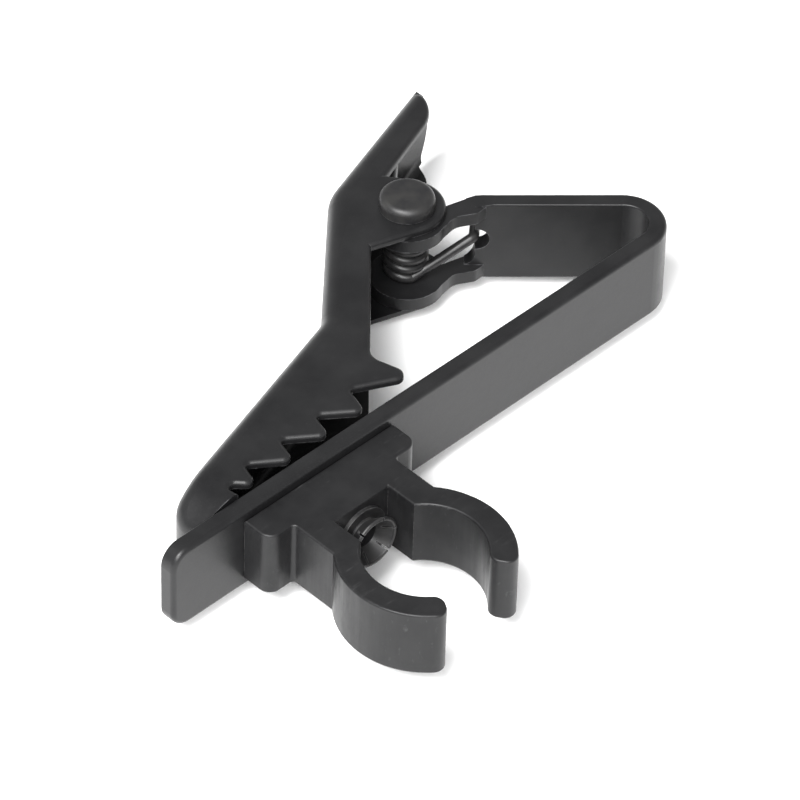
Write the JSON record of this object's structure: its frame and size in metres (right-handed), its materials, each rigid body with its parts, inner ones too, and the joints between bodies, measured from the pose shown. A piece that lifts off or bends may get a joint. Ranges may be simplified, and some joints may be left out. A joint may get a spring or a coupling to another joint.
{
  "type": "clip-on microphone holder",
  "caption": "Sprung garment clip with a toothed channel jaw on a folded strip, carrying a swivelling open snap ring that holds a small round microphone.",
  "frame": {"origin": "centre of the snap ring's bore, at half its height", "axes": "+X along the strip from the jaw's nose to the fold, +Y from the snap ring towards the jaw, +Z along the snap ring's bore and the jaw's pivot"},
  "size_m": [0.0453, 0.0361, 0.0089],
  "materials": {
    "coated_steel": "semi-gloss black powder coat",
    "blackened_steel": "satin black plating",
    "blackened_spring_wire": "satin black oxide",
    "moulded_plastic": "satin moulded black plastic"
  },
  "bodies": {
    "frame": {"clip_frame": "coated_steel", "pivot_rivet": "blackened_steel", "torsion_spring": "blackened_spring_wire", "holder_eyelet": "blackened_steel", "holder_washer": "blackened_steel"},
    "jaw": {"jaw_lever": "coated_steel"},
    "holder": {"mic_holder": "moulded_plastic"}
  },
  "joints": [
    {"name": "jaw_pivot", "type": "hinge", "parent": "frame", "child": "jaw", "pos_m": [0.0205, 0.02255, 0], "axis": [0, 0, 1], "range_deg": [-65, 0], "stiffness_Nm_per_rad": 0.05, "springref_deg": 45.84, "deforming": ["torsion_spring"]},
    {"name": "holder_swivel", "type": "hinge", "parent": "frame", "child": "holder", "pos_m": [0, 0.0095, 0], "axis": [0, 1, 0], "continuous": true}
  ]
}
